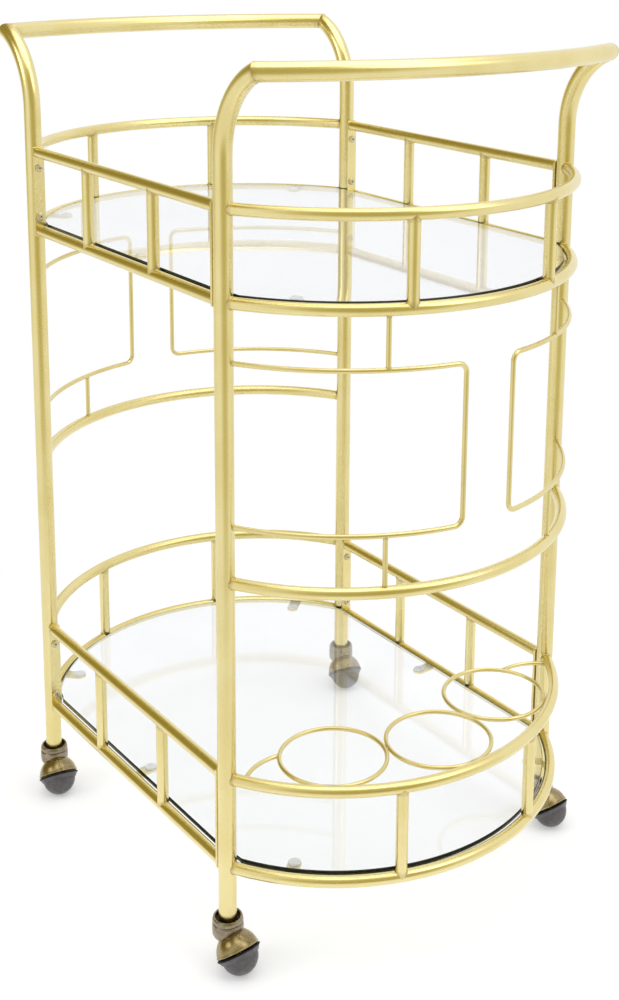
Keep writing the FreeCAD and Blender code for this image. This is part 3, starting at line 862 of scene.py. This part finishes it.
tab_half_width = 0.007
tab_thickness = 0.0025
tab_length = rail_radius + 0.017
tab_root = 0.0046
tab_arc_angle = math.radians(47)
soft_edge_rounding = 0.0004
tab_bead_radius = 0.0011
tab_bead_inset = 0.0002
tab_bead_width_share = 0.9


def tab_seats(z):
    """Placements of a shelf's six tabs: X points inward from the rail's axis, Z is up, from the tab's top."""
    seats = []
    for side in side_signs.values():
        turn = Matrix.Rotation(-side * math.pi / 2, 4, "Z")
        seats.append(Matrix.Translation((0, side * side_y, z)) @ turn)
    for sign in end_signs.values():
        for angle in (-tab_arc_angle, tab_arc_angle):
            point = on_bow(angle, z)
            turn = Matrix.Rotation(angle + math.pi if sign > 0 else -angle, 4, "Z")
            seats.append(Matrix.Translation((sign * point.x, point.y, z)) @ turn)
    return seats


tab_nose = arc_points(tab_length, 0, tab_half_width, -90, 90, 24)
tab_outline = [(tab_root, -tab_half_width), *tab_nose, (tab_root, tab_half_width)]
tab_tops = {name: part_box(f"glass_pads_{name}")[0].z for name in ("lower", "upper")}

for name, z in tab_tops.items():
    stock = Stock()
    for seat in tab_seats(z):
        plate(stock, tab_outline, tab_thickness, soft_edge_rounding,
              lambda u, v, height: seat @ Vector((u, v, height - tab_thickness)))
        root = seat @ Vector((rail_radius - tab_bead_inset, 0, -tab_thickness))
        touch_bead(stock, root, seat.to_3x3() @ across_y, tab_half_width * tab_bead_width_share,
                   tab_bead_radius, tab_bead_radius)
    tabs = stock.piece(f"glass_tabs_{name}_set", gold)
    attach(tabs, "frame")
    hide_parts(f"glass_tabs_{name}")


# ---- Glass pads ----
# Clear soft discs stuck on the tabs, which carry the glass and keep it from sliding. Moulded with a
# rounded rim, slightly milky and a little dusty on top.

pad_radius = 0.006
pad_thickness = 0.002

finish = Finish("clear_soft_pad")
milk = finish.grain(finish.place, 500.0, 4.0)
clear_pad = finish.surface({
    "Base Color": finish.blend_colours(milk, (0.99, 0.99, 0.99), (0.96, 0.97, 0.98)),
    "Roughness": finish.weighed((milk, 0.2), base=0.25),
    "Normal": finish.relief(finish.grain(finish.place, 1800.0), 0.1, 0.00005),
    "Transmission Weight": 0.1,
    "IOR": 1.45,
})

pad_outline = arc_points(tab_length, 0, pad_radius, 0, 360, 40)[:-1]
for name, z in tab_tops.items():
    stock = Stock()
    for seat in tab_seats(z):
        plate(stock, pad_outline, pad_thickness, soft_edge_rounding,
              lambda u, v, height: seat @ Vector((u, v, height)))
    pads = stock.piece(f"glass_pads_{name}_set", clear_pad)
    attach(pads, "frame")
    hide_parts(f"glass_pads_{name}")


# ---- Glass shelves ----
# Two plates of 5 mm clear float glass that lie inside the rails on the pads: straight long sides, bowed
# ends and a hollow clipped out at each post. The ground edges look nearly black end-on.

glass_gap = 0.002
clip_radius = 0.036
clip_clear = post_radius + 0.0025
glass_grinding = 0.0006

finish = Finish("clear_float_glass")
smear = finish.grain(finish.place, 9.0, 5.0, 0.6, 0.45, 0.75)
dust = finish.grain(finish.place, 700.0, 3.0, 0.5, 0.66, 0.8)
clear_glass = finish.surface({
    "Base Color": finish.blend_colours(smear, (0.95, 0.96, 0.98), (0.93, 0.943, 0.965)),
    "Roughness": finish.weighed((dust, 0.02)),
    "Normal": finish.relief(finish.grain(finish.place, 14.0, 2.0), 0.02, 0.0004),
    "Transmission Weight": 0.93,
    "IOR": 1.5,
})
path = finish.node("LightPath").outputs
through = finish.node("BsdfTransparent", Color=(0.97, 0.98, 0.985, 1))
lit_through = finish.maths("MAXIMUM", path["Is Shadow Ray"], path["Is Diffuse Ray"])
finish.show(finish.either(lit_through, finish.plain, through.outputs[0]))

finish = Finish("ground_glass_edge")
depth = finish.grain(finish.place, 30.0, 3.0)
grinding = finish.grain(finish.stretched(finish.place, 400, 400, 2400), 1.0)
glass_edge = finish.surface({
    "Base Color": finish.blend_colours(depth, (0.006, 0.012, 0.010), (0.016, 0.026, 0.022)),
    "Roughness": finish.grain(finish.place, 1500.0, 3.0, 0.5, 0.3, 0.7, 0.10, 0.24),
    "Normal": finish.relief(grinding, 0.12, 0.00003),
    "IOR": 1.5,
})
from_inside = finish.node("BsdfTransparent", Color=(0.62, 0.68, 0.67, 1))
backfacing = finish.node("NewGeometry").outputs["Backfacing"]
finish.show(finish.either(backfacing, finish.plain, from_inside.outputs[0]))

glass_edge_y = side_y - rail_radius - glass_gap
glass_edge_radius = bow_radius - rail_radius - glass_gap
clip_turn = (math.pi / 2 + math.asin(glass_edge_y / glass_edge_radius)) / 2
clip_centre = Vector((end_x, side_y, 0)) + level(clip_turn) * (clip_radius - clip_clear)


def glass_quarter():
    """Outline of a shelf's right back quarter, from the tip of its bow to the middle of its long side."""
    offset = clip_centre - Vector((bow_centre_x, 0, 0))
    reach = offset.length
    cosine = (glass_edge_radius ** 2 + reach ** 2 - clip_radius ** 2) / (2 * glass_edge_radius * reach)
    bow_end = math.degrees(math.atan2(offset.y, offset.x) - math.acos(cosine))
    outline = arc_points(bow_centre_x, 0, glass_edge_radius, 0, bow_end, 40)
    side_x = clip_centre.x - math.sqrt(clip_radius ** 2 - (clip_centre.y - glass_edge_y) ** 2)
    first, last = (math.degrees(math.atan2(y - clip_centre.y, x - clip_centre.x)) % 360
                   for x, y in (outline[-1], (side_x, glass_edge_y)))
    return outline + arc_points(clip_centre.x, clip_centre.y, clip_radius, first, last, 16)[1:]


quarter = glass_quarter()
glass_outline = quarter + [(-x, y) for x, y in quarter[::-1]]
glass_outline += [(-x, -y) for x, y in quarter[1:]] + [(x, -y) for x, y in quarter[:0:-1]]
for name in ("lower", "upper"):
    low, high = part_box(f"glass_shelf_{name}")
    stock = Stock()
    plate(stock, glass_outline, high.z - low.z, glass_grinding,
          lambda u, v, height: Vector((u, v, low.z + height)), edge_material=1, steps=3)
    pane = stock.piece(f"glass_pane_{name}", clear_glass, glass_edge, crease=50)
    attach(pane, "frame")
    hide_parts(f"glass_shelf_{name}")


# ---- Caster hoods ----
# Die-cast housing of each caster: a grooved collar cup that takes the post's foot, and a domed cover with a
# beaded rim over the slanted wheel. Antique brass plating, rubbed brighter on the crowns and rims.

collar_rim_z = 0.0535
cup_floor_z = 0.046
cup_bore_radius = 0.0125
cup_hole_radius = 0.0055
collar_bottom_z = 0.031
collar_radius = 0.0155
collar_rim_radius = 0.0146
collar_foot_radius = 0.010
hood_radius = 0.0215
hood_wall = 0.0018
hood_bead = 0.0011
hood_rim_gap = 0.0006
groove_depth = 0.0009
groove_half_width = 0.0007
groove_floor_half = 0.0003
groove_below_rim = 0.006
collar_bulge = 0.0003
collar_edge_share = 0.12
cast_edge = 0.0006
fine_edge = 0.0002


def antique_brass(name, bright, dark, worn_at):
    """Brass plating darkened in its hollows and rubbed bright on its crowns, over slightly uneven casting."""
    finish = Finish(name)
    worn = finish.wear_and_hollow_shade(worn_at - 0.05, worn_at + 0.05)
    patches = finish.grain(finish.place, 130.0, 5.0, 0.6, 0.35, 0.65)
    fine = finish.grain(finish.place, 900.0, 4.0)
    rubbed = finish.weighed((worn, 0.55), (patches, 0.5), clamped=True)
    colour = finish.blend_colours(rubbed, dark, bright)
    casting = finish.relief(finish.grain(finish.place, 180.0, 2.0), 0.06, 0.0002)
    return finish.surface({
        "Base Color": finish.blend_colours(finish.weighed((fine, 0.15)), colour, tinted(dark, 0.6)),
        "Roughness": finish.weighed((fine, 0.08), (rubbed, -0.06), base=0.26),
        "Normal": finish.relief(fine, 0.06, 0.00006, casting),
        "Metallic": 1.0,
        "Coat Weight": 0.15,
        "Coat Roughness": 0.2,
    })


collar_brass = antique_brass("antique_brass_collar", (0.40, 0.34, 0.25), (0.20, 0.16, 0.11), 0.52)
hood_brass = antique_brass("antique_brass_hood", (0.44, 0.35, 0.18), (0.25, 0.19, 0.09), 0.52)
belt_z = collar_bottom_z + collar_radius - collar_foot_radius
groove_z = collar_rim_z - groove_below_rim
collar_profile = [(0.002, collar_bottom_z + fine_edge), (collar_foot_radius - 0.001, collar_bottom_z)]
collar_profile += arc_points(collar_foot_radius, belt_z, collar_radius - collar_foot_radius, -90, 0, 8)
groove_radius = collar_radius - 0.0001
for low_z, high_z, low_radius, high_radius in (
    (belt_z, groove_z - groove_half_width, collar_radius, groove_radius),
    (groove_z + groove_half_width, collar_rim_z - cast_edge, groove_radius, collar_rim_radius),
):
    if low_z > groove_z:
        collar_profile += [(collar_radius - groove_depth, groove_z + z)
                           for z in (-groove_floor_half, groove_floor_half)]
    for step in range(1, 11):
        share = step / 10
        edge = max(0, collar_edge_share - min(share, 1 - share)) / collar_edge_share
        bulge = collar_bulge * (math.sin(math.pi * share) - edge ** 2)
        collar_profile.append((low_radius + (high_radius - low_radius) * share + bulge,
                               low_z + (high_z - low_z) * share))
collar_profile += [
    (collar_rim_radius - cast_edge, collar_rim_z),
    (cup_bore_radius + cast_edge, collar_rim_z),
    (cup_bore_radius + fine_edge, collar_rim_z - fine_edge),
    (cup_bore_radius, collar_rim_z - cast_edge),
    (cup_bore_radius, cup_floor_z),
    (cup_hole_radius, cup_floor_z),
]
hood_inner_radius = hood_radius - hood_wall
hood_profile = [
    *arc_points(0, 0, hood_radius, -89.5, -7, 29),
    *arc_points(hood_radius - hood_bead / 2, -hood_rim_gap - hood_bead, hood_bead, -55, 90, 9),
    (hood_inner_radius + fine_edge, -hood_rim_gap),
    (hood_inner_radius, -hood_rim_gap - fine_edge),
    *arc_points(0, 0, hood_inner_radius, -3, -89.5, 19),
]


def caster_joints(kind):
    """Middle and axis of each joint of a kind, by the caster's corner."""
    return {joint["name"].removeprefix(kind): (Vector(joint["pos_m"]), Vector(joint["axis"]).normalized())
            for joint in frame["joints"] if joint["name"].startswith(kind)}


axles = caster_joints("wheel_spin_")
swivels = caster_joints("swivel_")


def on_axle(corner):
    """Placement of a caster's turned pieces, whose own Z is the axle with the wheel's dome at its far end."""
    middle, axis = axles[corner]
    side = up.cross(axis).normalized()
    turn = Matrix((axis.cross(side), side, axis)).transposed()
    return Matrix.Translation(middle) @ turn.to_4x4()


for corner, (swivel, _) in swivels.items():
    stock = Stock()
    turned(stock, collar_profile, Matrix.Translation((swivel.x, swivel.y, 0)), 64)
    collar = stock.piece(f"caster_collar_{corner}", collar_brass, crease=50)
    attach(collar, f"caster_swivel_{corner}")
    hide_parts(f"caster_hood_{corner}")
    stock = Stock()
    turned(stock, hood_profile, on_axle(corner), 72)
    hood = stock.piece(f"caster_dome_{corner}", hood_brass, crease=50)
    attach(hood, f"caster_swivel_{corner}")
    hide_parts(f"caster_hood_{corner}")


# ---- Caster wheels ----
# Bowl wheel under each hood: a rim that shows at the hood's edge, coloured near black as painted shadow
# under the hood's rim, and a grey domed face that rolls on the floor, moulded in one and running on a
# slanted axle.

tread_radius = 0.0225
tread_thickness = 0.003
# Width along the axle of the near-black band, which paints the shadow under the hood's rim.
painted_shadow_band = 0.0014
tread_shoulder_radius = 0.0191
tread_taper = 0.0026
dome_radius = 0.0185
dome_drop = 0.00399
bowl_radius = 0.0163
bowl_floor = 0.004
wheel_bore_radius = 0.0056
tread_edge = 0.0005
tread_edge_corner = 0.00015
dome_share = 0.995
painted_shadow_black = (0.010, 0.010, 0.009), (0.005, 0.005, 0.005)
dome_grey_rubber = (0.125, 0.115, 0.118), (0.085, 0.078, 0.082)


def moulded(name, light, dark, roughness, scuffs, gloss=0.5):
    """Moulded rubber or plastic: mottled tone, fine grain and scuffs from rolling."""
    finish = Finish(name)
    mottle = finish.grain(finish.place, 160.0, 4.0)
    marks = finish.grain(finish.stretched(finish.place, 900, 900, 250), 1.0, 4.0, 0.6, 0.6, 0.75)
    colour = finish.blend_colours(mottle, light, dark)
    texture = finish.relief(finish.grain(finish.place, 1600.0, 3.0), 0.2, 0.00008)
    return finish.surface({
        "Base Color": finish.blend_colours(finish.weighed((marks, scuffs)), colour, tinted(light, 1.9, 0.02)),
        "Roughness": finish.weighed((mottle, 0.10), base=roughness),
        "Normal": finish.relief(marks, 0.2, 0.00006, texture),
        "Specular IOR Level": gloss,
    })


# The rim band's rubber is painted shadow: near black, with little gloss so that it stays dark.
painted_shadow_rubber = moulded("painted_shadow_black_rubber", *painted_shadow_black, 0.50, 0.15, gloss=0.2)
dome_rubber = moulded("grey_dome_rubber", *dome_grey_rubber, 0.30, 0.5)
tread_end = hood_rim_gap + painted_shadow_band
shoulder_end = hood_rim_gap + tread_thickness + tread_taper
wheel_profile = [
    (wheel_bore_radius, bowl_floor),
    (bowl_radius - fine_edge, bowl_floor),
    (bowl_radius, hood_rim_gap + fine_edge),
    (bowl_radius + fine_edge, hood_rim_gap),
    (tread_radius - tread_edge, hood_rim_gap),
    (tread_radius - tread_edge_corner, hood_rim_gap + tread_edge_corner),
    (tread_radius, hood_rim_gap + tread_edge),
    (tread_radius, tread_end - tread_edge),
    (tread_radius - tread_edge_corner, tread_end - tread_edge_corner),
    (tread_radius - tread_edge, tread_end),
    (tread_radius - 0.0010, tread_end + 0.0004),
    (tread_shoulder_radius + 0.0003, shoulder_end - fine_edge),
    (tread_shoulder_radius, shoulder_end),
    (dome_radius + 0.0001, shoulder_end),
]
painted_shadow_bands = len(wheel_profile) - 4
dome_start = math.degrees(math.asin((shoulder_end - dome_drop) / dome_radius))
dome_end = dome_start + (90 - dome_start) * dome_share
wheel_profile += arc_points(0, dome_drop, dome_radius, dome_start, dome_end, 30)[1:]

for corner in swivels:
    stock = Stock()
    # The bands up to the taper take the painted shadow colour, the rest the grey dome.
    bands = [0] * painted_shadow_bands + [1] * (len(wheel_profile) - 1 - painted_shadow_bands)
    turned(stock, wheel_profile, on_axle(corner), 72, bands)
    wheel = stock.piece(f"caster_ball_{corner}", painted_shadow_rubber, dome_rubber, crease=50)
    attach(wheel, f"caster_wheel_{corner}")
    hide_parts(f"caster_wheel_{corner}")


# ---- Caster axles and stems ----
# Turned steel: the axle is pressed into the hood, and the stem has a flange over the cup's floor and a pin
# up in the post. Only the stem's flange shows, down in the cup.

finish = Finish("turned_steel")
turning = finish.grain(finish.stretched(finish.place, 60, 60, 6000), 1.0, 3.0)
stain = finish.grain(finish.place, 220.0, 4.0)
colour = finish.blend_colours(stain, (0.56, 0.56, 0.55), (0.40, 0.39, 0.37))
turned_steel = finish.surface({
    "Base Color": finish.blend_colours(finish.weighed((turning, 0.3)), colour, (0.24, 0.23, 0.22)),
    "Roughness": finish.weighed((turning, 0.12), base=0.3),
    "Normal": finish.relief(turning, 0.25, 0.00005),
    "Metallic": 1.0,
})


def coat(name, material):
    """Puts a finish on a solid that is shown just as it was made."""
    for held in frame["nodes"][name].material_slots:
        held.material = material


for name in ("caster_stems", *(f"caster_axle_{corner}" for corner in swivels)):
    coat(name, turned_steel)


# ---- Socket inserts ----
# Black moulded bushings pushed into the posts' feet, which grip the stems. Their rim shows as a dark ring
# between the post and the collar cup.

insert_plastic = moulded("black_moulded_plastic", (0.030, 0.030, 0.032), (0.016, 0.016, 0.017), 0.45, 0.2)
coat("socket_inserts", insert_plastic)


# ---- Floor ----
# Wide pale sweep that the cart stands on. To the camera it is lifted to plain white, and the cart's soft
# shadow stays on it.

floor_radius = 1.15
floor_facets = 96
floor_lift = 0.31
floor_fades_from = 0.34
floor_fades_to = 0.80

mesh = bpy.data.meshes.new("pale_floor")
edge_points = [level(math.tau * i / floor_facets) * floor_radius for i in range(floor_facets)]
mesh.from_pydata(edge_points, [], [list(range(floor_facets))])
floor = placed("pale_floor", mesh)
finish = Finish("pale_floor_paint")
clouds = finish.grain(finish.place, 1.7, 2.0)
mesh.materials.append(finish.surface({
    "Base Color": finish.blend_colours(clouds, (0.94, 0.94, 0.945), (0.92, 0.92, 0.93)),
    "Roughness": 0.9,
    "Specular IOR Level": 0.0,
}))
lifted = finish.node("AddShader")
finish.join(finish.plain, lifted.inputs[0])
finish.join(finish.node("Emission", strength=floor_lift).outputs[0], lifted.inputs[1])
white = finish.node("Emission", strength=1.0)
from_middle = finish.node("VectorMath", operation="LENGTH")
finish.join(finish.place, from_middle.inputs[0])
fade = finish.spread(from_middle.outputs["Value"], floor_fades_from, floor_fades_to)
shown = finish.either(fade, lifted.outputs[0], white.outputs[0])
path = finish.node("LightPath").outputs
seen = finish.maths("MAXIMUM", path["Is Camera Ray"], path["Is Transmission Ray"])
seen = finish.maths("MAXIMUM", seen, path["Is Glossy Ray"])
finish.show(finish.either(seen, finish.plain, shown))


# ---- Studio ----
# White surroundings with two dimmer, warmer parts that give the tubes their shape, one on the camera's side
# and one to its left; sharp reflections, as in the glass, show plain pale surroundings. A wide soft lamp
# hangs overhead, and two smaller ones stand to the right and the left.

white_backdrop = (1.0, 1.0, 1.0)
mirrored_grey = (0.95, 0.95, 0.95)
fill_grey = (0.62, 0.62, 0.62)
warmth = {"Red": 1.0, "Green": 1.2, "Blue": 2.5}

world = bpy.data.worlds.new("white_studio")
bpy.context.scene.world = world
world.use_nodes = True
studio = Nodes(world.node_tree)
direction = studio.node("TexCoord").outputs["Generated"]
path = studio.node("LightPath").outputs


def dimmer_toward(heading, inner, outer, depth):
    """How much the studio dims around a direction, between two angles from it in degrees."""
    dot = studio.node("VectorMath", operation="DOT_PRODUCT")
    dot.inputs[1].default_value = Vector(heading).normalized()
    studio.join(direction, dot.inputs[0])
    low, high = (math.cos(math.radians(angle)) for angle in (outer, inner))
    return studio.spread(dot.outputs["Value"], low, high, 1.0, 1.0 - depth)


camera_side = dimmer_toward((0.91, -0.33, 0.26), 14, 58, 0.46)
left_side = dimmer_toward((-0.67, -0.43, 0.59), 24, 58, 0.68)
grey_level = studio.maths("MULTIPLY", camera_side, left_side)
warm = studio.node("CombineColor")
for socket, depth in warmth.items():
    studio.join(studio.maths("POWER", grey_level, depth), warm.inputs[socket])
plain = studio.maths("MAXIMUM", path["Is Camera Ray"], path["Is Transmission Ray"])
shown = studio.blend_colours(path["Is Glossy Ray"], fill_grey, warm.outputs["Color"])
shown = studio.blend_colours(path["Is Singular Ray"], shown, mirrored_grey)
shown = studio.blend_colours(plain, shown, white_backdrop)
studio.join(shown, studio.tree.nodes["Background"].inputs["Color"])

lamps_aim = Vector((0, 0, 0.45))
lamps = (
    ("soft_overhead", (0.2, 0.1, 2.6), 2.4, 16.0),
    ("soft_right", (1.75, 0.75, 2.05), 1.3, 6.0),
    ("soft_left", (-0.58, -2.01, 1.67), 1.0, 5.5),
)
for name, place, size, power in lamps:
    lamp = bpy.data.lights.new(name, "AREA")
    lamp.shape = "DISK"
    lamp.size = size
    lamp.energy = power
    holder = placed(name, lamp)
    holder.location = place
    holder.rotation_mode = "QUATERNION"
    holder.rotation_quaternion = (lamps_aim - Vector(place)).to_track_quat("-Z", "Y")


# ---- Camera ----
# A little above the cart, off its right front corner, looking slightly down; the lens is shifted so that
# the cart fills the upright frame.

camera_place = Vector((1.31688, -0.89623, 1.01486))
camera_turn = 0.9136
camera_pitch = 0.2174
camera_roll = 0.0161

camera = placed("camera", bpy.data.cameras.new("camera"))
bpy.context.scene.camera = camera
camera.data.lens = 54.17
camera.data.sensor_width = 36
camera.data.shift_x = -0.0731
camera.data.shift_y = -0.2487
right = level(camera_turn)
forward = level(camera_turn + math.pi / 2) * math.cos(camera_pitch) - up * math.sin(camera_pitch)
above = right.cross(forward)
rolled_right = right * math.cos(camera_roll) + above * math.sin(camera_roll)
rolled_above = above * math.cos(camera_roll) - right * math.sin(camera_roll)
turn = Matrix((rolled_right, rolled_above, -forward)).transposed().to_4x4()
camera.matrix_world = Matrix.Translation(camera_place) @ turn

bpy.context.scene.view_settings.view_transform = "Standard"
